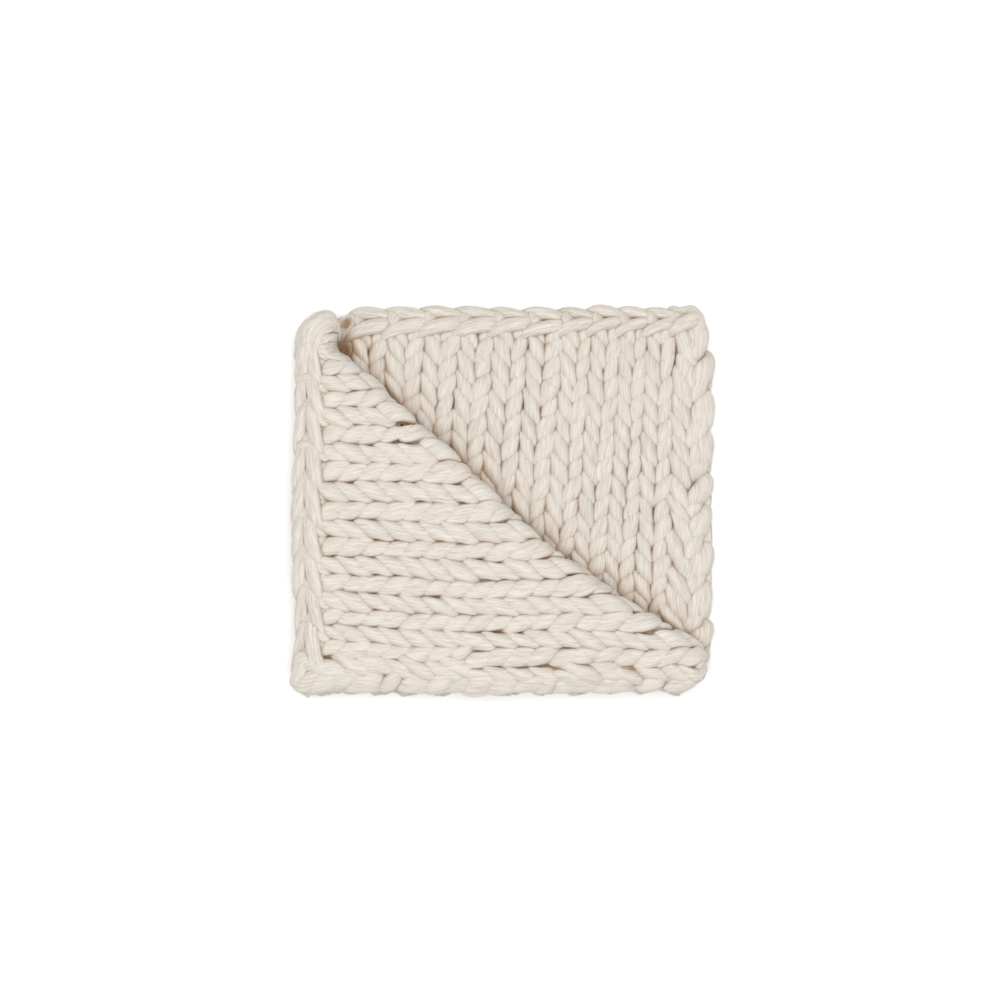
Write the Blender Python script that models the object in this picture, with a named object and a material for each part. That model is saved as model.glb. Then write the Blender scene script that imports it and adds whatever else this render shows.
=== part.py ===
"""A chunky knit throw of unspun wool: one rectangular stocking-stitch sheet, folded in half with
its knit side inwards, and the upper half then turned back from corner to corner, so that the
knit side shows twice. It is one closed solid in its folded shape, with the stitches raised in
its face.

Metres, +Z up. The throw lies on Z = 0 with the middle of its outline at the origin. The fold is
on the -X side and the bound-off edge of the lower half on the +Y side."""

import bpy
import numpy as np

# Driving dimensions
WIDTH = 0.770
LENGTH = 0.728
LAYER = 0.034
LAYER_GAP = 0.005
STITCH_RELIEF = 0.011
EDGE_ROUND = 0.017

# Stitches: a wale is a column of stitches, and a place on the sheet is a pair (wale, row)
ROWS = 18
FOLD_WALE = 11.5
CORD_ROWS = 1.5
ROW_ZIGZAG = 0.25
CORD_SLANT = 0.6

# Widths of the wales in mm, which the hands of the knitter made uneven. The lower half runs from
# the fold, along the middle of a wale, to the free side edge. The upper half runs back from its
# own free side edge to the fold.
LOWER_WALES = (33, 68, 66, 66, 66, 65, 64, 62, 56, 54, 50, 52, 68)
UPPER_WALES = (74, 62, 62, 68, 64, 68, 70, 64, 58, 62, 62, 31)
WALES = len(LOWER_WALES) + len(UPPER_WALES) - 1

# The lower half, in metres right of the fold and below the bound-off edge
FOLD_INSET = 0.006
FOOT_INSET = 0.003
LOWER_CORD = 0.066
LOWER_LEAN = 0.11
LEAN_START = 0.12

# The upper half after it is turned back. Its rows are drawn longer and drop a little.
TURNED_INSET = 0.003
TURNED_CORD = 0.053
TURNED_ROW = 0.0390
TURNED_DROP = 0.035

# The turned edge, in metres right of the fold and below the bound-off edge. It flattens towards
# the free corner, and at the other end it rises into the blunt roll of the fold's own corner.
CREASE_START = 0.010
CREASE_SLOPE = 0.945
CREASE_FLAT_FROM = 0.49
CREASE_FLATTENING = 0.29
CREASE_EASE = 0.06
ROLL_END = 0.092
ROLL_EASE = 0.028
ROLL_FROM_ROW = 12
SQUEEZE = 0.5
SQUEEZE_AT = (10.6, 17.8)
SQUEEZE_REACH = 0.13

# How far each corner of the folded outline is rounded off, and how the outline and the heights
# wander
CORNERS = (
    # side x, side y, radius
    (-1, 1, 0.075),
    (-1, -1, 0.050),
    (1, 1, 0.050),
    (1, -1, 0.065),
)
OUTLINE_WANDER = 0.003
HEIGHT_WANDER = 0.035
EDGE_SINK = 0.14
EDGE_SINK_REACH = 0.035

WOOL = (0.80, 0.76, 0.69, 1.0)
WOOL_ROUGHNESS = 0.95

BEND = (LAYER + LAYER_GAP) / 2


def bend(distance):
    """A sheet bent half a turn over a round of radius BEND. It returns how far the sheet lies
    from the sharp fold line, and how far it has climbed, from 0 well before the line to 1."""
    quarter = np.pi * BEND / 2
    turned = np.clip(distance, -quarter, quarter)
    reach = quarter - BEND * np.cos(turned / BEND) + np.abs(distance) - np.abs(turned)
    return reach, 0.5 + 0.5 * np.sin(turned / BEND)


def wale_edges(widths, room):
    """Distances of the edges of the wales in metres, fitted into this much room."""
    edges = np.concatenate([[0.0], np.cumsum(widths)])
    return edges * room / edges[-1]


def lower_half(from_fold, row):
    """Place on the lower half, as metres right of the fold and metres below the top edge."""
    pitch = (LENGTH - FOOT_INSET - LOWER_CORD) / ROWS
    below = LOWER_CORD + (ROWS - row) * np.where(row > ROWS, LOWER_CORD / CORD_ROWS, pitch)
    lean = LOWER_LEAN * np.sin(np.pi * np.clip(from_fold / WIDTH, 0, 1))
    return FOLD_INSET + from_fold - lean * (below - LEAN_START), below


def turned_half(from_fold, row):
    """Place on the upper half once it is all turned back: its wales now lie across the throw."""
    right = TURNED_CORD + (ROWS - row) * np.where(row > ROWS, TURNED_CORD / CORD_ROWS, TURNED_ROW)
    up = np.sum(UPPER_WALES) / 1000 - from_fold
    drop = TURNED_DROP * right * np.clip(1 - up / LENGTH, 0, 1)
    return TURNED_INSET + right, LENGTH - TURNED_INSET - up + drop * np.clip(up / 0.06, 0, 1)


def crease(right):
    """Metres below the top edge at which the turned edge runs."""
    past = right - CREASE_FLAT_FROM
    flatter = (past + np.hypot(past, CREASE_EASE)) / 2
    below = CREASE_START + CREASE_SLOPE * right - CREASE_FLATTENING * flatter
    return below * (0.5 + 0.5 * np.tanh((right - ROLL_END) / ROLL_EASE))


def middle_sheet(wale, row):
    """The middle of the sheet's thickness at (wale, row), as an array of points."""
    lower_edges = wale_edges(LOWER_WALES, WIDTH - FOLD_INSET)
    upper_edges = wale_edges(UPPER_WALES, np.sum(UPPER_WALES) / 1000)
    lower_marks = np.concatenate([[0], np.arange(len(LOWER_WALES)) + 0.5])
    upper_marks = np.concatenate([np.arange(len(UPPER_WALES)), [FOLD_WALE]])
    on_lower = np.interp(wale - FOLD_WALE, lower_marks, lower_edges)
    on_upper = upper_edges[-1] - np.interp(wale, upper_marks, upper_edges)

    from_fold, upper_share = bend(on_upper - on_lower)
    low_right, low_below = lower_half(from_fold, row)
    turned_right, turned_below = turned_half(from_fold, row)

    # Each row of the upper half runs from the fold to the turned edge, and from there back.
    crease_below = crease(turned_right)
    slope = (crease(turned_right + 0.001) - crease_below) / 0.001
    cosine = 1 / np.hypot(1, slope)
    beyond = crease_below - turned_below
    reach, under_share = bend(beyond * cosine)
    under = (beyond + reach / cosine) / 2
    run = np.maximum(from_fold + beyond, 2 * BEND)
    right = turned_right + (FOLD_INSET - turned_right) * under / run
    below = turned_below + under + (low_below - crease_below) * under / run

    x = -WIDTH / 2 + low_right + (right - low_right) * upper_share
    y = LENGTH / 2 - low_below - (below - low_below) * upper_share
    layers_under = upper_share * (2 - under_share)
    return np.stack([x, y, LAYER / 2 + 2 * BEND * layers_under], axis=-1)


def settle(points):
    """Rounds off the corners, lets the outline and the heights wander, and sinks the edges."""
    x, y, z = np.moveaxis(points, -1, 0)
    moved_x, moved_y = x.copy(), y.copy()
    for side_x, side_y, radius in CORNERS:
        u = np.clip(side_x * x - WIDTH / 2 + radius, 0, None) / radius
        v = np.clip(side_y * y - LENGTH / 2 + radius, 0, None) / radius
        moved_x += side_x * radius * u * (np.sqrt(1 - np.minimum(v, 1) ** 2 / 2) - 1)
        moved_y += side_y * radius * v * (np.sqrt(1 - np.minimum(u, 1) ** 2 / 2) - 1)
    moved_x += OUTLINE_WANDER * np.sin(9.5 * y + 0.8) * np.sin(6.0 * x + 1.2)
    moved_y += OUTLINE_WANDER * np.sin(8.7 * x + 2.1) * np.sin(5.2 * y + 0.4)
    to_edge = np.minimum(WIDTH / 2 - np.abs(x), LENGTH / 2 - np.abs(y))
    sink = EDGE_SINK * np.exp(-np.clip(to_edge / EDGE_SINK_REACH, 0, None) ** 2)
    wander = HEIGHT_WANDER * np.sin(17 * x + 3 * y + 1.0) * np.sin(13 * y - 4 * x)
    return np.stack([moved_x, moved_y, z * (1 + wander - sink)], axis=-1)


def in_sheet(wale, row, height):
    """Point at this height above the middle of the sheet, towards its knit side."""
    step = 0.02
    along_wale = middle_sheet(wale + step, row) - middle_sheet(wale - step, row)
    along_row = middle_sheet(wale, row + step) - middle_sheet(wale, row - step)
    up = np.cross(along_wale, along_row)
    up /= np.linalg.norm(up, axis=-1, keepdims=True)
    return settle(middle_sheet(wale, row) + up * height[..., None])


def fullness(wale, row):
    """Half thickness of the sheet over half a layer. Each free edge is a quarter round, and the
    sheet is squeezed where both folds meet."""
    wale_size, row_size = 0.062, 0.037
    inward = np.minimum(np.minimum(wale, WALES - wale) * wale_size,
                        np.minimum(row, ROWS + CORD_ROWS - row) * row_size)
    away = np.hypot((wale - SQUEEZE_AT[0]) * wale_size, (row - SQUEEZE_AT[1]) * row_size)
    squeeze = SQUEEZE * np.exp(-(away / SQUEEZE_REACH) ** 2)
    return np.sqrt(1 - (1 - np.clip(inward / EDGE_ROUND, 0, 1)) ** 2) * (1 - squeeze)


def stitch_depth(wale, row):
    """How deep the knit face lies: stitches stand up between the seams of a stocking stitch,
    and the cord of the bound-off edge is a row of slanting links."""
    legs = 0.5 + 0.5 * np.cos(4 * np.pi * wale)
    rows = 0.5 + 0.5 * np.cos(2 * np.pi * row)
    links = 0.5 + 0.5 * np.cos(2 * np.pi * (wale - CORD_SLANT * (row - ROWS)))
    in_cord = np.clip((row - ROWS) * 4, 0, 1)
    return STITCH_RELIEF * ((0.55 * legs + 0.45 * rows) * (1 - in_cord) + 0.8 * links * in_cord)


def throw_mesh():
    """Both faces of the sheet on one grid, joined along the rim, the purl face more coarsely."""
    rim_column = 0.08
    columns = np.unique(np.concatenate([np.arange(0, WALES, 0.25), [rim_column, WALES],
                                        [WALES - rim_column]]))
    rows = np.concatenate([[0, 0.15], np.arange(0.5, ROWS, 0.5), ROWS + np.array([0, 0.4, 0.8]),
                           ROWS + CORD_ROWS - np.array([0.32, 0.08, 0])])
    wale, row = np.meshgrid(columns, rows, indexing="ij")
    zigzag = 2 * ROW_ZIGZAG * (np.abs((wale % 1) - 0.5) * 2 - 0.5)
    zigzag *= np.clip(row - 0.5, 0, 1) * np.clip(ROWS + 0.3 - row, 0, 1)
    half = LAYER / 2 * fullness(wale, row)
    depth = stitch_depth(wale, row) * fullness(wale, row)
    knit = in_sheet(wale, row + zigzag, half - depth)
    purl = in_sheet(wale, row, -half)

    across, along = wale.shape
    knit_index = np.arange(wale.size).reshape(wale.shape)
    purl_index = knit_index + wale.size
    purl_index[[0, -1], :] = knit_index[[0, -1], :]
    purl_index[:, [0, -1]] = knit_index[:, [0, -1]]
    faces = [
        (knit_index[i, j], knit_index[i + 1, j], knit_index[i + 1, j + 1], knit_index[i, j + 1])
        for i in range(across - 1) for j in range(along - 1)
    ]

    near_fold = np.abs(columns - FOLD_WALE) < 1.1
    column_stops = [i for i in range(across)
                    if i in (0, 1, across - 2, across - 1) or near_fold[i] or columns[i] % 0.5 == 0]
    row_stops = [j for j in range(along) if rows[j] % 1 == 0 or rows[j] < 0.4 or rows[j] > ROLL_FROM_ROW]
    for left, right in zip(column_stops, column_stops[1:]):
        for low, high in zip(row_stops, row_stops[1:]):
            ring = [purl_index[left, j] for j in range(low, high) if j == low or left == 0]
            ring += [purl_index[i, high] for i in range(left, right) if i == left or high == along - 1]
            ring += [purl_index[right, j] for j in range(high, low, -1) if j == high or right == across - 1]
            ring += [purl_index[i, low] for i in range(right, left, -1) if i == right or low == 0]
            faces.append(tuple(ring))

    points = np.concatenate([knit.reshape(-1, 3), purl.reshape(-1, 3)])
    used, renumbered = np.unique(np.concatenate([np.array(face) for face in faces]), return_inverse=True)
    stops = np.cumsum([0] + [len(face) for face in faces])
    return points[used], [tuple(renumbered[a:b].tolist()) for a, b in zip(stops, stops[1:])]


def wool():
    material = bpy.data.materials.new("ivory wool")
    material.use_nodes = True
    shader = material.node_tree.nodes["Principled BSDF"]
    shader.inputs["Base Color"].default_value = WOOL
    shader.inputs["Roughness"].default_value = WOOL_ROUGHNESS
    shader.inputs["Metallic"].default_value = 0.0
    return material


for old in list(bpy.data.objects):
    bpy.data.objects.remove(old)
points, faces = throw_mesh()
mesh = bpy.data.meshes.new("throw")
mesh.from_pydata(points.tolist(), [], faces)
mesh.shade_smooth()
mesh.materials.append(wool())
throw = bpy.data.objects.new("throw", mesh)
bpy.context.scene.collection.objects.link(throw)
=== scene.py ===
"""A chunky knit throw of unspun wool, folded in half with one corner turned back over it. The
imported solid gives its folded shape; here the same sheet is knitted loop by loop from one thick
yarn, with its bound-off chain, its cast-on edge and the loose hairs of the wool.

Metres, +Z up. A place in the knitting is (wale, row, height): wales are columns of stitches,
rows are worked from the cast-on edge, and height is measured from the middle of the sheet
towards its knit side."""

import bpy
import numpy as np
from mathutils.bvhtree import BVHTree
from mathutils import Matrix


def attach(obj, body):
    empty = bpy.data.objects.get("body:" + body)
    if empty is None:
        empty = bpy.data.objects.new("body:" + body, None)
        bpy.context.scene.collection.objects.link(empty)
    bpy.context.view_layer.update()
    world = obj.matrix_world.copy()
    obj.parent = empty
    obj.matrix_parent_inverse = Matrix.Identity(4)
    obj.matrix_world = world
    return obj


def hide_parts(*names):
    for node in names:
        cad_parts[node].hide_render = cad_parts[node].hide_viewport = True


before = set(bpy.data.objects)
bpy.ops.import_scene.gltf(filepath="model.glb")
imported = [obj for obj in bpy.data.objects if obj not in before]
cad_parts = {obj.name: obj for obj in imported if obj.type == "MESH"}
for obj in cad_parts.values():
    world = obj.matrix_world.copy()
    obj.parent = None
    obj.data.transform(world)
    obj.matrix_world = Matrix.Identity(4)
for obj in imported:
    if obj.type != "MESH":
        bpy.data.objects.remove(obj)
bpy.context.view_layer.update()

# ---- The folded sheet ----
# One rectangle of stocking stitch, folded in half at the left with its knit side inwards, and
# its upper half turned back from corner to corner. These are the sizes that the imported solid
# lies in, so that every loop below lands on it.
WIDTH, LENGTH, LAYER = 0.770, 0.728, 0.034
BEND = 0.0195                  # radius of both folds, to the middle of the sheet
ROWS, CORD_ROWS = 18, 1.5      # the bound-off cord counts as so many rows more
WALES, FOLD_WALE = 24, 11.5    # wales count from the free edge of the upper half


def bend(distance):
    """A strip bent half a turn over a round of radius BEND: how far it lies from the fold line,
    which is the arc's own reach plus the straight run beyond it, and its climb from 0 to 1,
    which is half of one plus the sine of the angle turned so far."""
    quarter = np.pi * BEND / 2
    turned = np.clip(distance, -quarter, quarter)
    reach = quarter - BEND * np.cos(turned / BEND) + np.abs(distance) - np.abs(turned)
    return reach, 0.5 + 0.5 * np.sin(turned / BEND)


FOLD_INSET, FOOT_INSET = 0.006, 0.003   # of the fold and of the cast-on edge
LOWER_CORD = 0.066             # from the top edge down to the last row
LOWER_LEAN, LEAN_START = 0.11, 0.12     # slope of the leaning wales, and how far down it is nought


def lower_half(from_fold, row):
    """Metres right of the fold and below the top edge: rows at an even pitch with a taller
    cord at the top, and wales that lean left going down, most in the middle of the width."""
    pitch = (LENGTH - FOOT_INSET - LOWER_CORD) / ROWS
    below = LOWER_CORD + (ROWS - row) * np.where(row > ROWS, LOWER_CORD / CORD_ROWS, pitch)
    lean = LOWER_LEAN * np.sin(np.pi * np.clip(from_fold / WIDTH, 0, 1))
    return FOLD_INSET + from_fold - lean * (below - LEAN_START), below


UPPER_WALES = (74, 62, 62, 68, 64, 68, 70, 64, 58, 62, 62, 31)   # mm, free edge to fold
TURNED_CORD, TURNED_ROW = 0.053, 0.0390   # widths of its cord and of a row
TURNED_INSET = 0.003           # of its two free edges
TURNED_DROP, DROP_EASE = 0.035, 0.06      # slope by which its wales drop, and over how far it fades


def turned_half(from_fold, row):
    """The same for the upper half turned right back: its rows count to the right from its
    cord, and its wales climb from the bottom, dropping a little towards the right."""
    right = TURNED_CORD + (ROWS - row) * np.where(row > ROWS, TURNED_CORD / CORD_ROWS, TURNED_ROW)
    up = sum(UPPER_WALES) / 1000 - from_fold
    drop = TURNED_DROP * right * np.clip(1 - up / LENGTH, 0, 1)
    return TURNED_INSET + right, LENGTH - TURNED_INSET - up + drop * np.clip(up / DROP_EASE, 0, 1)


CREASE_START, CREASE_SLOPE = 0.010, 0.945
CREASE_FLAT_FROM, CREASE_FLATTENING, CREASE_EASE = 0.49, 0.29, 0.06
ROLL_END, ROLL_EASE = 0.082, 0.016   # how far right of the fold the corner's roll ends


def crease(right):
    """Metres below the top edge at which the turned edge runs: a slope that eases to a flatter
    one past CREASE_FLAT_FROM, times a smooth step that lifts it to the top at the left."""
    past = right - CREASE_FLAT_FROM
    below = CREASE_START + CREASE_SLOPE * right
    below -= CREASE_FLATTENING * (past + np.hypot(past, CREASE_EASE)) / 2
    return below * (0.5 + 0.5 * np.tanh((right - ROLL_END) / ROLL_EASE))


LOWER_WALES = (33, 68, 66, 66, 66, 65, 64, 62, 56, 54, 50, 52, 68)   # mm, fold to free edge


def middle_sheet(wale, row):
    """Middle of the folded sheet. Each row runs over the lower half, climbs round the fold,
    crosses to the turned edge, climbs round it and runs back: both bends are weights between
    0 and 1 that blend the three layers' places and add up to the height."""
    lower_edges = np.concatenate([[0], np.cumsum(LOWER_WALES)])
    lower_edges = lower_edges * (WIDTH - FOLD_INSET) / lower_edges[-1]
    upper_edges = np.concatenate([[0], np.cumsum(UPPER_WALES)]) / 1000
    lower_marks = np.concatenate([[0], np.arange(len(LOWER_WALES)) + 0.5])
    upper_marks = np.concatenate([np.arange(len(UPPER_WALES)), [FOLD_WALE]])
    on_lower = np.interp(wale - FOLD_WALE, lower_marks, lower_edges)
    on_upper = upper_edges[-1] - np.interp(wale, upper_marks, upper_edges)

    from_fold, upper_share = bend(on_upper - on_lower)
    low_right, low_below = lower_half(from_fold, row)
    turned_right, turned_below = turned_half(from_fold, row)
    crease_below = crease(turned_right)
    step = 0.001
    slope = (crease(turned_right + step) - crease_below) / step
    cosine = 1 / np.hypot(1, slope)
    beyond = crease_below - turned_below
    reach, under_share = bend(beyond * cosine)
    under = (beyond + reach / cosine) / 2
    run = np.maximum(from_fold + beyond, 2 * BEND)
    right = turned_right + (FOLD_INSET - turned_right) * under / run
    below = turned_below + under + (low_below - crease_below) * under / run

    x = -WIDTH / 2 + low_right + (right - low_right) * upper_share
    y = LENGTH / 2 - low_below - (below - low_below) * upper_share
    return np.stack([x, y, LAYER / 2 + 2 * BEND * upper_share * (2 - under_share)], axis=-1)


CORNERS = (
    # side x, side y, radius
    (-1, 1, 0.075),
    (-1, -1, 0.050),
    (1, 1, 0.050),
    (1, -1, 0.065),
)
# Crossed waves are pairs of (radians a metre in x, radians a metre in y, start).
OUTLINE_WANDER, HEIGHT_WANDER = 0.003, 0.035
SIDE_WAVES = ((0.0, 9.5, 0.8), (6.0, 0.0, 1.2))
END_WAVES = ((8.7, 0.0, 2.1), (0.0, 5.2, 0.4))
HEIGHT_WAVES = ((17.0, 3.0, 1.0), (-4.0, 13.0, 0.0))
EDGE_SINK, EDGE_SINK_REACH = 0.14, 0.035   # share of its height lost at an edge, and how far in
NUDGES = (
    # place x, place y, reach, move x, move y
    (0.330, 0.365, 0.160, 0.000, 0.008),
    (-0.345, 0.350, 0.050, 0.014, -0.028),
    (-0.385, 0.110, 0.120, 0.008, 0.000),
    (-0.385, -0.210, 0.090, 0.004, 0.000),
    (-0.060, -0.160, 0.170, 0.000, -0.010),
    (-0.300, -0.375, 0.120, 0.000, 0.004),
    (0.000, -0.375, 0.250, 0.000, 0.012),
    (0.330, -0.375, 0.100, -0.006, 0.008),
    (-0.375, -0.345, 0.045, -0.009, -0.006),
    (0.385, 0.345, 0.055, -0.009, 0.012),
)
POCKETS = (
    # place x, place y, reach, depth of the lower layer, pull of the upper one to the left
    (-0.293, 0.338, 0.010, 0.88, 0.000),
    (-0.297, 0.278, 0.016, 0.90, 0.014),
)
POCKET_LAYER, POCKET_EASE = 0.050, 0.008   # height that parts the two layers, and how softly
POCKET_PRESS = 0.25            # share of its height that the upper layer loses at a pocket
MOST_SINK = 0.9                # share of its height that any place may lose


def crossed_waves(x, y, size, waves):
    """Two sine waves multiplied together and scaled to a size."""
    first, second = (np.sin(in_x * x + in_y * y + start) for in_x, in_y, start in waves)
    return size * first * second


def settle(points):
    """The sheet as it lies. The corners are rounded by the elliptical map of a square to a
    disc, the outline is moved by crossed waves, and the sheet by a bell curve round the place
    of each nudge. Heights are scaled by one, plus a wave, minus a bell along the edges and
    one at each pocket, where a smooth step in height tells the lower layer from the upper."""
    x, y, z = np.moveaxis(points, -1, 0)
    moved_x, moved_y = x.copy(), y.copy()
    for side_x, side_y, radius in CORNERS:
        u = np.clip(side_x * x - WIDTH / 2 + radius, 0, None) / radius
        v = np.clip(side_y * y - LENGTH / 2 + radius, 0, None) / radius
        moved_x += side_x * radius * u * (np.sqrt(1 - np.minimum(v, 1) ** 2 / 2) - 1)
        moved_y += side_y * radius * v * (np.sqrt(1 - np.minimum(u, 1) ** 2 / 2) - 1)
    moved_x += crossed_waves(x, y, OUTLINE_WANDER, SIDE_WAVES)
    moved_y += crossed_waves(x, y, OUTLINE_WANDER, END_WAVES)
    to_edge = np.minimum(WIDTH / 2 - np.abs(x), LENGTH / 2 - np.abs(y))
    sink = EDGE_SINK * np.exp(-np.clip(to_edge / EDGE_SINK_REACH, 0, None) ** 2)
    for place_x, place_y, reach, move_x, move_y in NUDGES:
        near = np.exp(-((x - place_x) ** 2 + (y - place_y) ** 2) / reach**2)
        moved_x += move_x * near
        moved_y += move_y * near
    lower = 0.5 - 0.5 * np.tanh((z - POCKET_LAYER) / POCKET_EASE)
    for place_x, place_y, reach, depth, pull in POCKETS:
        near = np.exp(-((x - place_x) ** 2 + (y - place_y) ** 2) / reach**2)
        moved_x -= pull * near * (1 - lower)
        sink += near * (depth * lower + POCKET_PRESS * (1 - lower))
    sink = np.minimum(sink, MOST_SINK)
    wander = crossed_waves(x, y, HEIGHT_WANDER, HEIGHT_WAVES)
    return np.stack([moved_x, moved_y, z * (1 + wander - sink)], axis=-1)


def sheet_frame(wale, row):
    """Middle of the sheet, its unit normal on the knit side from the cross product of the two
    directions in it, those directions along the wales' count and the rows', and the true size
    of one wale there."""
    step = 0.02
    along_wale = (middle_sheet(wale + step, row) - middle_sheet(wale - step, row)) / (2 * step)
    along_row = (middle_sheet(wale, row + step) - middle_sheet(wale, row - step)) / (2 * step)
    up = np.cross(along_wale, along_row)
    up /= np.linalg.norm(up, axis=-1, keepdims=True)
    sizes = np.linalg.norm([along_wale, along_row], axis=-1)
    ways = np.stack([along_wale, along_row]) / sizes[..., None]
    return middle_sheet(wale, row), up, ways, sizes[0]


# ---- Knitted rows ----
# One roving of unspun wool, as thick as a thumb, makes every loop: up through the loop below
# as the first leg of a V, over the back as the loop's head, down as the second leg and behind
# the gap to the next wale. At the side edge it turns into the next row.
SEGMENTS = 32                  # a stitch
LOOP_SWING = 0.13              # wales by which a leg leans out over the one beside it
LOOP_RISE = 0.80               # rows from the middle of a loop up to its head
LOOP_DEPTH, LOOP_DIVE = 0.0085, 1.6   # how deep it passes behind, and how suddenly it dives
BACK_SHARE, BACK_EASE = 0.78, 1.8     # of the leg's size behind, and how soon it swells again
LEG_SLANT = 0.70               # how far a leg's ends slope down towards the middle of its V
UNEVEN_WALE, UNEVEN_ROW, UNEVEN_HEIGHT, UNEVEN_SIZE = 0.022, 0.085, 0.0015, 0.09
FIRST_LOOSE, LAST_LOOSE = 0.21, 0.13  # how slack the stitches at the two side edges are, in wales
SELVAGE_REACH = 1.2            # how many wales from the edge that lasts
LOOSE_ROW, LOOSE_SIZE = 1.6, 0.5      # what slackness does to the rows and the size
PROUD_HEIGHT, PROUD_NARROWING, PROUD_SLANT = 0.0022, 0.05, 0.3   # one leg of each V stands out
FOLD_SHARPNESS = 2             # of the change from one side of the fold to the other, a wale
MARKS = 4                      # places a stitch at which its unevenness is drawn
WAVER_SEEDS = range(11, 291, 40)


def smooth_floor(value, lowest, softness):
    """The larger of the value and its lowest, rounded where the two meet: the mean of their
    sum and the hypotenuse of their difference and the softness."""
    return (value + lowest + np.hypot(value - lowest, softness)) / 2


def uneven(seed, count, place):
    """Random values at whole numbers, at most two standard deviations from nought, joined by
    smooth steps and read at each place."""
    values = np.random.default_rng(seed).normal(size=count + 2).clip(-2, 2)
    whole = np.floor(place).astype(int).clip(0, count)
    part = np.clip(place - whole, 0, 1)
    return values[whole] + (values[whole + 1] - values[whole]) * part * part * (3 - 2 * part)


def row_of_loops(row):
    """One row, as (wale, row, height, size, slant) along the yarn. The wale runs on with a
    double sine that leans the legs, the row is a cosine with one top a wale, and the height
    is a hyperbolic tangent of a double cosine, which brings both legs to the front. The size
    follows the same way. Each has its own random waver, larger at the side edges, and a sine
    makes one leg of each V proud of the other, the left or the right one by which half it
    lies in. Odd rows are worked back."""
    seeds = [first + row for first in WAVER_SEEDS]
    stitches = WALES * MARKS
    along = np.linspace(0, WALES, SEGMENTS * WALES + 1)
    wale_waver, height_waver, row_waver, size_waver = (
        uneven(seed, stitches, along * MARKS) for seed in seeds[:4]
    )
    loose_wale, loose_row, loose_height = (
        uneven(seed, stitches, along * MARKS / 2) for seed in seeds[4:]
    )
    loose = FIRST_LOOSE * np.exp(-(along / SELVAGE_REACH) ** 2)
    loose += LAST_LOOSE * np.exp(-((WALES - along) / SELVAGE_REACH) ** 2)

    turn = 2 * np.pi * along
    leg = 0.5 - 0.5 * np.cos(2 * turn)
    wale = along + LOOP_SWING * np.sin(2 * turn) + UNEVEN_WALE * wale_waver + loose * loose_wale
    place = row + 0.5 - LOOP_RISE * np.cos(turn) + UNEVEN_ROW * row_waver
    place += LOOSE_ROW * loose * loose_row
    height = -LOOP_DEPTH * np.tanh(LOOP_DIVE * np.cos(2 * turn)) / np.tanh(LOOP_DIVE)
    height += UNEVEN_HEIGHT * height_waver
    height += LOOP_DEPTH * loose * loose_height
    size = BACK_SHARE + (1 - BACK_SHARE) * np.tanh(BACK_EASE * leg)
    size *= 1 + UNEVEN_SIZE * size_waver
    size *= 1 + LOOSE_SIZE * loose
    proud = np.sin(turn) * np.tanh((wale - FOLD_WALE) * FOLD_SHARPNESS)
    height += PROUD_HEIGHT * proud * leg
    size *= 1 - PROUD_NARROWING * proud * leg
    slant = -LEG_SLANT * np.sin(turn) * (1 + PROUD_SLANT * proud)
    path = np.stack([wale, place, height, size, slant], axis=-1)
    return path if row % 2 == 0 else path[::-1]


TURN_SEGMENTS, TURN_PULL = 10, 0.8
EDGE_UPPER, EDGE_LOWER = 0.36, 0.16   # least wales from the yarn to the upper and lower free edge
EDGE_ROW, EDGE_SOFTNESS = 0.36, 0.15  # least rows from it to the cast-on edge, and how softly
BOUND_OFF_FROM, BOUND_OFF_SHARE = 18.2, 0.6   # rows past the first shrink to this share


def side_turn(start, end, outwards):
    """The yarn's turn from one row into the next: a smooth step from the last loop to the
    first one above it, bulging past the side edge by a parabola."""
    t = np.linspace(0, 1, TURN_SEGMENTS + 1)[1:-1, None]
    turn = start + (end - start) * t * t * (3 - 2 * t)
    turn[:, :1] += outwards * TURN_PULL * t * (1 - t)
    return turn


def knitting(rows):
    """The whole path of the yarn through these rows, as arrays of wale, row, height, size and
    slant. Smooth floors keep it inside both side edges and the cast-on edge, and the last
    row is pressed together under the bound-off chain."""
    runs = []
    for row in rows:
        path = row_of_loops(row)
        if runs:
            runs.append(side_turn(runs[-1][-1], path[0], 1 if row % 2 else -1))
        runs.append(path)
    wale, place, height, size, slant = np.concatenate(runs).T
    wale = smooth_floor(wale, EDGE_UPPER, EDGE_SOFTNESS)
    wale = WALES - smooth_floor(WALES - wale, EDGE_LOWER, EDGE_SOFTNESS)
    place = smooth_floor(place, EDGE_ROW, 2 * EDGE_SOFTNESS)
    place -= (1 - BOUND_OFF_SHARE) * np.clip(place - BOUND_OFF_FROM, 0, None)
    return wale, place, height, size, slant


SIDES, SQUARENESS = 20, 2.5    # of the yarn's section, and its superellipse's power
FOLD_WAVES, FOLD_SPACING = (2, 3, 4), 0.03    # waves round the yarn, and metres from one to the next
CLOSING = (0.02, 0.6, 0.88)    # share of the size at the last three rings of each end
FLOOR_GAP, FLOOR_SOFTNESS = 0.0004, 0.0012


def tube_faces(index):
    """The quads between neighbouring rings of a tube, from the grid of its vertices' numbers:
    each ring is a row, and its last side is joined to its first."""
    beside = np.roll(index, -1, axis=1)
    return np.stack([index[:-1], index[1:], beside[1:], beside[:-1]], axis=-1).reshape(-1, 4)


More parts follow.
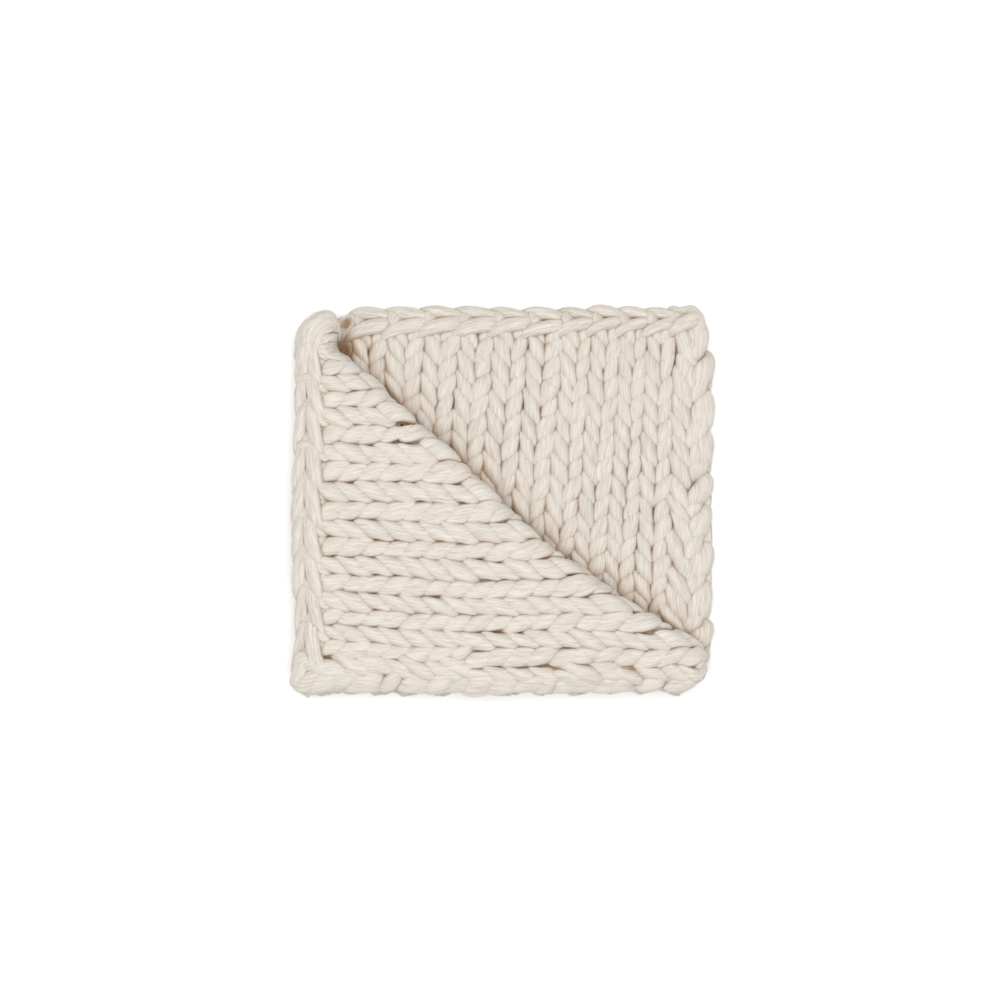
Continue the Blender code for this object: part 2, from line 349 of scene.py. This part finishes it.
def sweep(name, line, material, seed, folds_size, settled=True):
    """A yarn swept along a line of (centre, side, out, half width, half thickness). Each ring
    is a superellipse spanned by the vectors to its side and out of the sheet, whose radius
    swells by three low waves round it that wander along the yarn as the folds of a roving do.
    Both ends close in a point, and a smooth floor keeps it off the ground."""
    centre, sides, outs, widths, thicknesses = line
    length = np.concatenate([[0], np.cumsum(np.linalg.norm(np.diff(centre, axis=0), axis=1))])
    angle = np.linspace(0, 2 * np.pi, SIDES, endpoint=False)
    count = int(length[-1] / FOLD_SPACING) + 2
    folds = 0
    for waves in FOLD_WAVES:
        size = uneven(seed + waves, count, length / FOLD_SPACING)
        start = 2 * uneven(seed + 10 + waves, count, length / FOLD_SPACING / 2)
        folds = folds + size[:, None] * np.cos(waves * angle + start[:, None])
    swell = 1 + folds_size * folds
    closing = np.ones(len(centre))
    closing[:3] = closing[:-4:-1] = CLOSING
    cosine, sine = np.cos(angle), np.sin(angle)
    cosine = np.sign(cosine) * np.abs(cosine) ** (2 / SQUARENESS)
    sine = np.sign(sine) * np.abs(sine) ** (2 / SQUARENESS)
    across = (widths * closing)[:, None] * swell * cosine
    through = (thicknesses * closing)[:, None] * swell * sine
    rings = centre[:, None] + sides[:, None] * across[..., None] + outs[:, None] * through[..., None]
    if settled:
        rings = settle(rings)
    rings[..., 2] = smooth_floor(rings[..., 2], FLOOR_GAP, FLOOR_SOFTNESS)

    index = np.arange(rings.shape[0] * SIDES).reshape(-1, SIDES)
    faces = [tuple(face) for face in tube_faces(index).tolist()]
    ends = [tuple(index[0].tolist()), tuple(index[-1, ::-1].tolist())]
    mesh = bpy.data.meshes.new(name)
    mesh.from_pydata(rings.reshape(-1, 3).tolist(), [], faces + ends)
    mesh.shade_smooth()
    round_yarn = np.broadcast_to(angle, rings.shape[:2])
    along = np.broadcast_to(length[:, None], rings.shape[:2])
    radius = widths.max()
    reading = np.stack([np.cos(round_yarn) * radius, np.sin(round_yarn) * radius, along], axis=-1)
    attribute = mesh.attributes.new("along the yarn", "FLOAT_VECTOR", "POINT")
    attribute.data.foreach_set("vector", reading.astype(np.float32).ravel())
    mesh.materials.append(material)
    piece = bpy.data.objects.new(name, mesh)
    bpy.context.scene.collection.objects.link(piece)
    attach(piece, "root")
    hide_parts("throw")
    return rings


WALE_SIZE, ROW_SIZE = 0.062, 0.037            # usual sizes of a wale and of a row
EVEN_SHARE, WALE_SHARE = 0.3, 0.7             # of the yarn's width: fixed, and as wide as its wale
SQUEEZE, SQUEEZE_REACH = 0.15, 0.13           # the corner, pressed flat by its tight chain
SQUEEZE_WALE, SQUEEZE_ROW = 10.6, 17.8
GAP_PLACE, GAP_REACH, GAP_SIZE = (-0.1865, 0.1346), 0.014, 0.75   # a loose stitch shows a hole
TOP_LAYER = 2.5 * LAYER                       # heights above this are in the top layer
ROVING_FOLDS = 0.012


def yarn(name, path, size, material, seed, legs_along=1):
    """A yarn of this half width and half thickness that follows (wale, row, height, size,
    slant) in the sheet, its broad side lying in it. The slant shears each ring lengthways, in
    the direction of the rows' count or, with legs_along 0, of the wales', in proportion to
    how far across it a point lies, which slopes the ends of the legs. Its width follows the
    size of the wale, and a bell curve thins it round the gap."""
    wale, row, height, share, slant = path
    middle, up, ways, wale_size = sheet_frame(wale, row)
    away = np.hypot((wale - SQUEEZE_WALE) * WALE_SIZE, (row - SQUEEZE_ROW) * ROW_SIZE)
    squeezed = 1 - SQUEEZE * np.exp(-(away / SQUEEZE_REACH) ** 2)
    centre = middle + up * (height * squeezed)[:, None]
    ahead = np.gradient(centre, axis=0)
    ahead /= np.linalg.norm(ahead, axis=1, keepdims=True)
    side = np.cross(ahead, up)
    side /= np.maximum(np.linalg.norm(side, axis=1, keepdims=True), 1e-6)
    out = np.cross(side, ahead)
    over, lengthways = ways[1 - legs_along], ways[legs_along]
    sloping = side + lengthways * (slant * (side * over).sum(axis=1))[:, None]
    off_gap = np.hypot(centre[:, 0] - GAP_PLACE[0], centre[:, 1] - GAP_PLACE[1]) / GAP_REACH
    gap = np.exp(-off_gap**2) * (centre[:, 2] > TOP_LAYER)
    width, thickness = size
    widths = width * share * (EVEN_SHARE + WALE_SHARE * wale_size / WALE_SIZE) * (1 - GAP_SIZE * gap)
    line = (centre, sloping, out, widths, thickness * share * squeezed)
    return sweep(name, line, material, seed, ROVING_FOLDS)


# What noise tints the wool: how far it is drawn out along the yarn, its scale and its detail.
LOCKS, FIBRES = (0.12, 170.0, 3.0), (0.09, 500.0, 3.0)
FIBRE_SHARE = 0.72             # of the tint; the locks give the rest
DARK_WOOL = (0.35, (0.475, 0.436, 0.382, 1))   # the noise's value, and the colour there
PALE_WOOL = (0.62, (0.662, 0.614, 0.550, 1))
# Painted shade: deep wool is browned and darkened in the colour itself, standing in for the shade
# there and for the light that gets there after passing from fibre to fibre. How near a neighbour
# counts, rays, the open shares of the sky that give nought and one, and the steps from one to the
# other.
PAINTED_CLEFT_SHADE = (0.005, 6, 0.14, 0.76, "LINEAR")
PAINTED_HOLLOW_SHADE = (0.07, 5, 0.79, 0.04, "SMOOTHSTEP")
# Colours of the painted shade: the clefts' brown is mixed in, and the hollows' multiplies.
CLEFT_SHADE_BROWN = (0.40, 0.30, 0.205, 1)
HOLLOW_SHADE_BROWN = (0.52, 0.31, 0.14, 1)           # the wool's colour is multiplied by this
WOOL_ROUGHNESS, WOOL_SPECULAR = 0.92, 0.25
SHEEN, SHEEN_ROUGHNESS, SHEEN_TINT = 0.25, 0.5, (1.0, 0.96, 0.90, 1.0)
BUMP_STRENGTH, BUMP_DISTANCE, FIBRE_BUMP = 0.15, 0.002, 0.35


def combed_noise(nodes, links, place, kind):
    """Noise drawn out along the yarn by shrinking its third direction."""
    stretch, scale, detail = kind
    drawn = nodes.new("ShaderNodeMapping")
    drawn.inputs["Scale"].default_value = (1.0, 1.0, stretch)
    noise = nodes.new("ShaderNodeTexNoise")
    noise.inputs["Scale"].default_value = scale
    noise.inputs["Detail"].default_value = detail
    links.new(place, drawn.inputs["Vector"])
    links.new(drawn.outputs["Vector"], noise.inputs["Vector"])
    return noise.outputs["Fac"]


def weighted_sum(nodes, links, first, weight, second):
    """The first value times its weight, plus the second value."""
    total = nodes.new("ShaderNodeMath")
    total.operation = "MULTIPLY_ADD"
    total.inputs[1].default_value = weight
    links.new(first, total.inputs[0])
    links.new(second, total.inputs[2])
    return total.outputs["Value"]


def open_sky(nodes, links, kind):
    """The open share of the sky over a place, read on a scale from nought to one."""
    reach, rays, nought_at, one_at, steps = kind
    sky = nodes.new("ShaderNodeAmbientOcclusion")
    sky.samples = rays
    sky.inputs["Distance"].default_value = reach
    share = nodes.new("ShaderNodeMapRange")
    share.inputs["From Min"].default_value = nought_at
    share.inputs["From Max"].default_value = one_at
    share.interpolation_type = steps
    links.new(sky.outputs["AO"], share.inputs["Value"])
    return share.outputs["Result"]


def roving_wool():
    """Undyed merino top: a matt, milky ivory, combed so that its fibres lie along the yarn.
    Noise read in the yarn's own directions and drawn out along it gives broad locks and fine
    fibres, which tint the colour and stand up in the bump. As painted shade, hollows multiply the
    colour by one brown and narrow clefts mix it with another, by how open the sky is over them."""
    material = bpy.data.materials.new("ivory merino roving")
    material.use_nodes = True
    nodes, links = material.node_tree.nodes, material.node_tree.links
    shader = nodes["Principled BSDF"]
    shader.inputs["Roughness"].default_value = WOOL_ROUGHNESS
    shader.inputs["Sheen Weight"].default_value = SHEEN
    shader.inputs["Sheen Roughness"].default_value = SHEEN_ROUGHNESS
    shader.inputs["Sheen Tint"].default_value = SHEEN_TINT
    shader.inputs["Specular IOR Level"].default_value = WOOL_SPECULAR

    place = nodes.new("ShaderNodeAttribute")
    place.attribute_name = "along the yarn"
    locks = combed_noise(nodes, links, place.outputs["Vector"], LOCKS)
    fibres = combed_noise(nodes, links, place.outputs["Vector"], FIBRES)
    fewer_locks = nodes.new("ShaderNodeMath")
    fewer_locks.operation = "MULTIPLY"
    fewer_locks.inputs[1].default_value = 1 - FIBRE_SHARE
    links.new(locks, fewer_locks.inputs[0])
    combed = weighted_sum(nodes, links, fibres, FIBRE_SHARE, fewer_locks.outputs["Value"])
    tint = nodes.new("ShaderNodeValToRGB")
    for stop, (value, colour) in zip(tint.color_ramp.elements, (DARK_WOOL, PALE_WOOL)):
        stop.position = value
        stop.color = colour
    links.new(combed, tint.inputs["Fac"])

    # Painted shade in hollows: the colour is multiplied by a brown where little of the sky is open.
    hollow_shade = nodes.new("ShaderNodeMix")
    hollow_shade.data_type = "RGBA"
    hollow_shade.blend_type = "MULTIPLY"
    hollow_shade.inputs["B"].default_value = HOLLOW_SHADE_BROWN
    links.new(open_sky(nodes, links, PAINTED_HOLLOW_SHADE), hollow_shade.inputs["Factor"])
    links.new(tint.outputs["Color"], hollow_shade.inputs["A"])
    # Painted shade in narrow clefts: the colour is mixed towards a dark brown where a neighbour
    # closes the sky close by.
    cleft_shade = nodes.new("ShaderNodeMix")
    cleft_shade.data_type = "RGBA"
    cleft_shade.inputs["A"].default_value = CLEFT_SHADE_BROWN
    links.new(open_sky(nodes, links, PAINTED_CLEFT_SHADE), cleft_shade.inputs["Factor"])
    links.new(hollow_shade.outputs["Result"], cleft_shade.inputs["B"])
    links.new(cleft_shade.outputs["Result"], shader.inputs["Base Color"])

    bump = nodes.new("ShaderNodeBump")
    bump.inputs["Strength"].default_value = BUMP_STRENGTH
    bump.inputs["Distance"].default_value = BUMP_DISTANCE
    links.new(weighted_sum(nodes, links, fibres, FIBRE_BUMP, locks), bump.inputs["Height"])
    links.new(bump.outputs["Normal"], shader.inputs["Normal"])
    return material


LEG_SIZE = (0.0184, 0.0112)    # half width and half thickness at the front of a leg
ROWS_A_PIECE = 5
ROWS_SEED, PIECE_SEEDS = 200, 40

wool = roving_wool()
yarns = []
for part, first in enumerate(range(0, ROWS + 1, ROWS_A_PIECE), start=1):
    path = knitting(range(first, min(first + ROWS_A_PIECE, ROWS + 1)))
    seed = ROWS_SEED + PIECE_SEEDS * part
    yarns.append(yarn(f"knitted_rows_{part}", path, LEG_SIZE, wool, seed))

# ---- Bound-off chain ----
# The last loops are worked off over one another, which leaves a chain of big slanting links
# lying along the whole edge, one to a wale. It rolls over the edge a little, so its outer
# strand lies lower than the inner one.
TOP_RISE, SIDE_RISE = 0.84, 1.00      # wales from the middle of a link to either end
TOP_ROLL, SIDE_ROLL = 0.66, 0.50      # radians by which the chain rolls over the edge
CHAIN_SIZE = (0.0146, 0.0138)         # half width and half thickness of its yarn
CHAIN_SPREAD, CHAIN_PARTING = 0.0134, 1.2    # of the strands, and how sharply they part
CHAIN_TEAR = 0.90                     # how much wider a link is at its foot than at its head
CHAIN_DEPTH, CHAIN_DIVE = 0.0120, 1.0
CHAIN_LAP = 0.0025                    # by which a link's head lies over the foot of the last
CHAIN_HEAD, CHAIN_FOOT = 0.60, 0.85   # of the yarn's size
CHAIN_SWELL = 0.9                     # how soon it has its full size again
CHAIN_END_SLANT, CHAIN_BACK_TIME = 0.35, 0.12
CHAIN_ROW, CHAIN_HEIGHT = 18.61, -0.003
CHAIN_START, CHAIN_END = 0.3, 0.5     # wales left free at its two ends
CHAIN_EDGE_LOWER, CHAIN_SEGMENTS = 0.34, 48
TIGHT_WALE, TIGHT_REACH = 10.9, 1.1   # where it is drawn tight and smooth round the fold
TIGHT_SIZE = -0.30
CHAIN_SEED = 500


def chain():
    """A column of teardrop links worked towards the free side edge. Both strands of a link
    run side by side along a cosine and part by a hyperbolic tangent of a sine, wider at the
    foot by a cosine. The yarn steps on to the next link behind the last one by a hyperbolic
    tangent, its height is the same double cosine as a stitch's plus a cosine that laps each
    head over a foot, and where the chain is tight all of these fade out."""
    stitches = WALES * MARKS
    count = int(CHAIN_SEGMENTS * (WALES - (CHAIN_START + CHAIN_END))) + 1
    link = np.linspace(CHAIN_START, WALES - CHAIN_END, count)
    turn = 2 * np.pi * link
    tight = np.exp(-((WALES - link - TIGHT_WALE) / TIGHT_REACH) ** 4)
    since_step = link + 0.5 - np.floor(link + 0.5) - 0.5
    steps = np.floor(link + 0.5) - 0.5 + 0.5 * np.tanh(since_step / CHAIN_BACK_TIME)
    on_side = 0.5 - 0.5 * np.tanh((WALES - link - FOLD_WALE) * FOLD_SHARPNESS)
    roll = TOP_ROLL + (SIDE_ROLL - TOP_ROLL) * on_side
    rise = TOP_RISE + (SIDE_RISE - TOP_RISE) * on_side
    wale = WALES - steps - 0.5 - (link - steps) * tight + rise * (1 - tight) * np.cos(turn)
    wale += UNEVEN_WALE * uneven(CHAIN_SEED + 1, stitches, link * MARKS)
    parting = np.tanh(CHAIN_PARTING * np.sin(turn)) / np.tanh(CHAIN_PARTING)
    spread = CHAIN_SPREAD * (1 - tight) * parting * (1 - CHAIN_TEAR * np.cos(turn))
    front = np.tanh(CHAIN_DIVE * np.cos(2 * turn)) / np.tanh(CHAIN_DIVE)
    depth = -CHAIN_DEPTH * (1 - tight) * front
    cord = np.where(wale > FOLD_WALE, LOWER_CORD, TURNED_CORD) / CORD_ROWS
    row = CHAIN_ROW + (spread * np.cos(roll) + depth * np.sin(roll)) / cord
    row += UNEVEN_ROW / 2 * uneven(CHAIN_SEED + 2, stitches, link * MARKS)
    height = CHAIN_HEIGHT + depth * np.cos(roll) - spread * np.sin(roll) + CHAIN_LAP * np.cos(turn)
    ends = CHAIN_FOOT - (CHAIN_FOOT - CHAIN_HEAD) * (0.5 + 0.5 * np.cos(turn))
    size = ends + (1 - ends) * np.tanh(CHAIN_SWELL - CHAIN_SWELL * np.cos(2 * turn))
    size *= 1 + UNEVEN_SIZE / 2 * uneven(CHAIN_SEED + 3, stitches, link * MARKS) + TIGHT_SIZE * tight
    wale = smooth_floor(wale, EDGE_UPPER, EDGE_SOFTNESS)
    wale = WALES - smooth_floor(WALES - wale, CHAIN_EDGE_LOWER, EDGE_SOFTNESS)
    return wale, row, height, size, -CHAIN_END_SLANT * (1 - tight) * parting


yarns.append(yarn("bound_off_chain", chain(), CHAIN_SIZE, wool, CHAIN_SEED + 20, legs_along=0))

# ---- Cast-on edge ----
# The foot of the first row: one strand that passes through every first loop and shows as a
# small slanting bump under each.
CAST_ON_SIZE = (0.0085, 0.0085)
CAST_ON_ROW, CAST_ON_RISE, CAST_ON_LEAN, CAST_ON_DEPTH = 0.16, 0.10, 0.16, 0.0065
CAST_ON_INSET, CAST_ON_SEGMENTS = 0.3, 24   # wales left free at each end, and segments a wale
CAST_ON_SEED = 700


def cast_on():
    """A strand along the first row, bumping to the front once a wale: its row and height are
    a cosine and a sine, and its wale runs on with a sine that leans the bumps."""
    stitches = WALES * MARKS
    along = np.linspace(CAST_ON_INSET, WALES - CAST_ON_INSET, CAST_ON_SEGMENTS * WALES)
    turn = 2 * np.pi * along
    wale = along + CAST_ON_LEAN * np.sin(turn)
    row = CAST_ON_ROW + CAST_ON_RISE * np.cos(turn)
    row += UNEVEN_ROW / 2 * uneven(CAST_ON_SEED + 1, stitches, along * MARKS)
    height = CAST_ON_DEPTH * np.sin(turn)
    size = 1 + UNEVEN_SIZE * uneven(CAST_ON_SEED + 2, stitches, along * MARKS)
    return wale, row, height, size, np.zeros_like(along)


yarns.append(yarn("cast_on_edge", cast_on(), CAST_ON_SIZE, wool, CAST_ON_SEED + 20))

# ---- Corner roll ----
# Where the chain goes round the fold it is drawn tight, and its strands felt together into one
# fat, smooth roll that turns the corner and ends in a small pocket beside the lower half.
ROLL_PATH = (
    # x, y, z, half width, half thickness
    (-0.345, 0.195, 0.066, 0.011, 0.012),
    (-0.346, 0.227, 0.075, 0.024, 0.022),
    (-0.345, 0.260, 0.077, 0.032, 0.030),
    (-0.346, 0.287, 0.070, 0.033, 0.039),
    (-0.341, 0.302, 0.065, 0.033, 0.045),
    (-0.332, 0.311, 0.062, 0.032, 0.046),
    (-0.325, 0.315, 0.060, 0.032, 0.042),
    (-0.319, 0.318, 0.056, 0.031, 0.034),
    (-0.315, 0.319, 0.046, 0.025, 0.019),
)
ROLL_RINGS, ROLL_FOLDS, ROLL_SEED = 90, 0.045, 610
ROLL_TURN = 34                 # a ring faces the mean direction of so many rings to each side


def corner_roll():
    """The roll's (centre, side, out, half width, half thickness): Catmull-Rom curves through
    the rows of the table. Each ring faces the mean of the directions of the line round it, so
    that the rings don't cross on the inside of the bend."""
    points = np.array(ROLL_PATH)
    before_first, after_last = 2 * points[:1] - points[1:2], 2 * points[-1:] - points[-2:-1]
    points = np.concatenate([before_first, points, after_last])
    just_short = len(ROLL_PATH) - 1.001
    place = np.linspace(0, just_short, ROLL_RINGS)
    first = place.astype(int)
    t = (place - first)[:, None]
    before, start, end, after = (points[first + step] for step in range(4))
    squared = 2 * before - 5 * start + 4 * end - after
    cubed = 3 * start - before - 3 * end + after
    line = start + ((end - before) * t + (squared * t**2 + cubed * t**3)) / 2
    centre, width, thickness = line[:, :3], line[:, 3], line[:, 4]

    ahead = np.gradient(centre, axis=0)
    ahead /= np.linalg.norm(ahead, axis=1, keepdims=True)
    held = np.pad(ahead, ((ROLL_TURN, ROLL_TURN), (0, 0)), mode="edge")
    around = 2 * ROLL_TURN + 1
    ahead = np.array([held[ring : ring + around].mean(axis=0) for ring in range(ROLL_RINGS)])
    ahead /= np.linalg.norm(ahead, axis=1, keepdims=True)
    side = np.cross(ahead, [0, 0, 1])
    side /= np.linalg.norm(side, axis=1, keepdims=True)
    return centre, side, np.cross(side, ahead), width, thickness


yarns.append(sweep("corner_roll", corner_roll(), wool, ROLL_SEED, ROLL_FOLDS, settled=False))

# ---- Loose hairs ----
# Unspun wool sheds: fine hairs lie along every strand, stray over the next one and stand up
# at their ends, which softens the outline.
HAIRS, HAIR_SEGMENTS, HAIR_SIDES = 4400, 7, 3
HAIR_RADIUS, HAIR_TAPER = 0.00017, 0.75
HAIR_RINGS = (2.5, 8.0)        # how many rings of its yarn a hair passes, least and most
HAIR_DRIFT = 2.2               # how far it wanders round the yarn, in the yarn's sides
HAIR_CURL, HAIR_CURL_TURN = 0.4, 5.0   # how far it curls on its way, and through what angle
HAIR_LIFT, HAIR_RISE = 0.0001, (0.0004, 0.0042)   # off the yarn, and up to its free end
HAIR_FLOOR_GAP, HAIR_SEED = 0.0006, 811
END_RINGS = (4, 14)            # none starts so near to the first or the last ring
CLEAR_WAY, RAY_START = 0.05, 0.0008   # a hair grows only where nothing is so near above it
LOWEST_FACING = -0.3           # and where the yarn's face doesn't turn down any further


def outer_places(surfaces, count, rng):
    """Random (yarn, ring, side) places on the outside of the throw: a ray outwards from each
    meets nothing within CLEAR_WAY, and it doesn't point at the floor."""
    points = np.concatenate([rings.reshape(-1, 3) for rings in surfaces])
    starts = np.concatenate([[0], np.cumsum([rings.shape[0] * SIDES for rings in surfaces])])
    faces = [
        tube_faces(start + np.arange(rings.shape[0] * SIDES).reshape(-1, SIDES))
        for rings, start in zip(surfaces, starts)
    ]
    tree = BVHTree.FromPolygons(points.tolist(), np.concatenate(faces).tolist())
    chosen = []
    shares = np.array([len(rings) for rings in surfaces], float)
    while len(chosen) < count:
        which = rng.choice(len(surfaces), p=shares / shares.sum())
        rings = surfaces[which]
        ring = rng.integers(END_RINGS[0], len(rings) - END_RINGS[1])
        side = rng.integers(SIDES)
        point = rings[ring, side]
        out = point - rings[ring].mean(axis=0)
        out /= np.linalg.norm(out)
        free = tree.ray_cast(point + RAY_START * out, out, CLEAR_WAY)[0] is None
        if out[2] > LOWEST_FACING and free:
            chosen.append((which, ring, side))
    return chosen


def hair_rings(rings, ring, side, rng):
    """One hair from this place on a yarn's rings, as rings of its own. It walks along the
    yarn with a steady drift round it and a sine's curl, and lifts off it by the square of its
    length so far. Its rings lie on circles that shrink by that square too."""
    t = np.linspace(0, 1, HAIR_SEGMENTS + 1)
    place = ring + rng.uniform(*HAIR_RINGS) * t * rng.choice((1, -1))
    place = np.clip(place, 1, len(rings) - 3)
    round_place = side + rng.normal() * HAIR_DRIFT * t
    round_place = round_place + HAIR_CURL * rng.normal() * np.sin(HAIR_CURL_TURN * t)
    first, corner = place.astype(int), np.floor(round_place).astype(int)
    part, part_round = (place - first)[:, None], (round_place - corner)[:, None]
    near, far = (
        rings[first + step, corner % SIDES] * (1 - part_round)
        + rings[first + step, (corner + 1) % SIDES] * part_round
        for step in (0, 1)
    )
    line = near + (far - near) * part
    out = line - rings[first].mean(axis=1)
    out /= np.linalg.norm(out, axis=1, keepdims=True)
    line = line + out * (HAIR_LIFT + rng.uniform(*HAIR_RISE) * t**2)[:, None]
    line[:, 2] = np.maximum(line[:, 2], HAIR_FLOOR_GAP)
    ahead = np.gradient(line, axis=0)
    ahead /= np.maximum(np.linalg.norm(ahead, axis=1, keepdims=True), 1e-9)
    across = np.cross(ahead, out)
    across /= np.maximum(np.linalg.norm(across, axis=1, keepdims=True), 1e-9)
    over = np.cross(across, ahead)
    radius = HAIR_RADIUS * (1 - HAIR_TAPER * t**2)[:, None]
    angles = 2 * np.pi * np.arange(HAIR_SIDES) / HAIR_SIDES
    return np.stack([line + radius * (np.cos(a) * across + np.sin(a) * over) for a in angles], axis=1)


def loose_hairs(surfaces):
    """The mesh of all the hairs: tubes of three sides, closed at both ends."""
    rng = np.random.default_rng(HAIR_SEED)
    points, faces = [], []
    size = (HAIR_SEGMENTS + 1) * HAIR_SIDES
    for which, ring, side in outer_places(surfaces, HAIRS, rng):
        index = len(points) * size + np.arange(size).reshape(-1, HAIR_SIDES)
        points.append(hair_rings(surfaces[which], ring, side, rng).reshape(-1, 3))
        faces += tube_faces(index)[:, [0, 3, 2, 1]].tolist()
        faces += [index[0, ::-1].tolist(), index[-1].tolist()]
    mesh = bpy.data.meshes.new("loose_hairs")
    mesh.from_pydata(np.concatenate(points).tolist(), [], faces)
    mesh.shade_smooth()
    return mesh


hair_wool = bpy.data.materials.new("stray wool hairs")
hair_wool.use_nodes = True
hair_shader = hair_wool.node_tree.nodes["Principled BSDF"]
hair_shader.inputs["Base Color"].default_value = (0.68, 0.635, 0.57, 1)
hair_shader.inputs["Roughness"].default_value = 0.8
hair_mesh = loose_hairs(yarns)
hair_mesh.materials.append(hair_wool)
hairs = bpy.data.objects.new("loose_hairs", hair_mesh)
bpy.context.scene.collection.objects.link(hairs)
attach(hairs, "root")

# ---- Floor, light and camera ----
# A plain white sweep under even studio light from a large soft box overhead and a weak one at
# the left, with the camera straight above the throw.
FLOOR_SIZE = 8.0
CAMERA_HEIGHT = 4.2
VIEW_WIDTH, VIEW_HEIGHT = 1.83, 0.06   # metres across the view, at this height above the floor
VIEW_CENTRE = (-0.003, 0.002)
WORLD_LIGHT = 0.54
SOFT_BOXES = (
    # name, place, size, watts
    ("overhead soft box", (0.0, 0.0, 3.9), 3.2, 154.0),
    ("left soft box", (-2.2, -0.9, 1.9), 1.6, 3.0),
)

paper = bpy.data.materials.new("white paper")
paper.use_nodes = True
paper_shader = paper.node_tree.nodes["Principled BSDF"]
paper_shader.inputs["Base Color"].default_value = (0.95, 0.95, 0.95, 1)
paper_shader.inputs["Roughness"].default_value = 0.9
edge = FLOOR_SIZE / 2
corners = [(-edge, -edge, 0), (edge, -edge, 0), (edge, edge, 0), (-edge, edge, 0)]
floor_mesh = bpy.data.meshes.new("floor")
floor_mesh.from_pydata(corners, [], [(0, 1, 2, 3)])
floor_mesh.materials.append(paper)
floor = bpy.data.objects.new("floor", floor_mesh)
bpy.context.scene.collection.objects.link(floor)

world = bpy.data.worlds.new("studio")
world.use_nodes = True
world.node_tree.nodes["Background"].inputs["Color"].default_value = (1.0, 1.0, 1.0, 1)
world.node_tree.nodes["Background"].inputs["Strength"].default_value = WORLD_LIGHT
bpy.context.scene.world = world
for name, place, size, watts in SOFT_BOXES:
    light = bpy.data.lights.new(name, "AREA")
    light.size = size
    light.energy = watts
    lamp = bpy.data.objects.new(name, light)
    bpy.context.scene.collection.objects.link(lamp)
    lamp.location = place
    # Tipped from straight down and then turned, so that it faces the middle of the floor.
    x, y, z = place
    lamp.rotation_euler = (np.arctan2(np.hypot(x, y), z), 0, np.arctan2(x, -y))

camera = bpy.data.cameras.new("camera")
camera.sensor_width = 36.0
camera.lens = camera.sensor_width * (CAMERA_HEIGHT - VIEW_HEIGHT) / VIEW_WIDTH
viewpoint = bpy.data.objects.new("camera", camera)
bpy.context.scene.collection.objects.link(viewpoint)
viewpoint.location = (*VIEW_CENTRE, CAMERA_HEIGHT)
bpy.context.scene.camera = viewpoint
bpy.context.scene.view_settings.view_transform = "Standard"
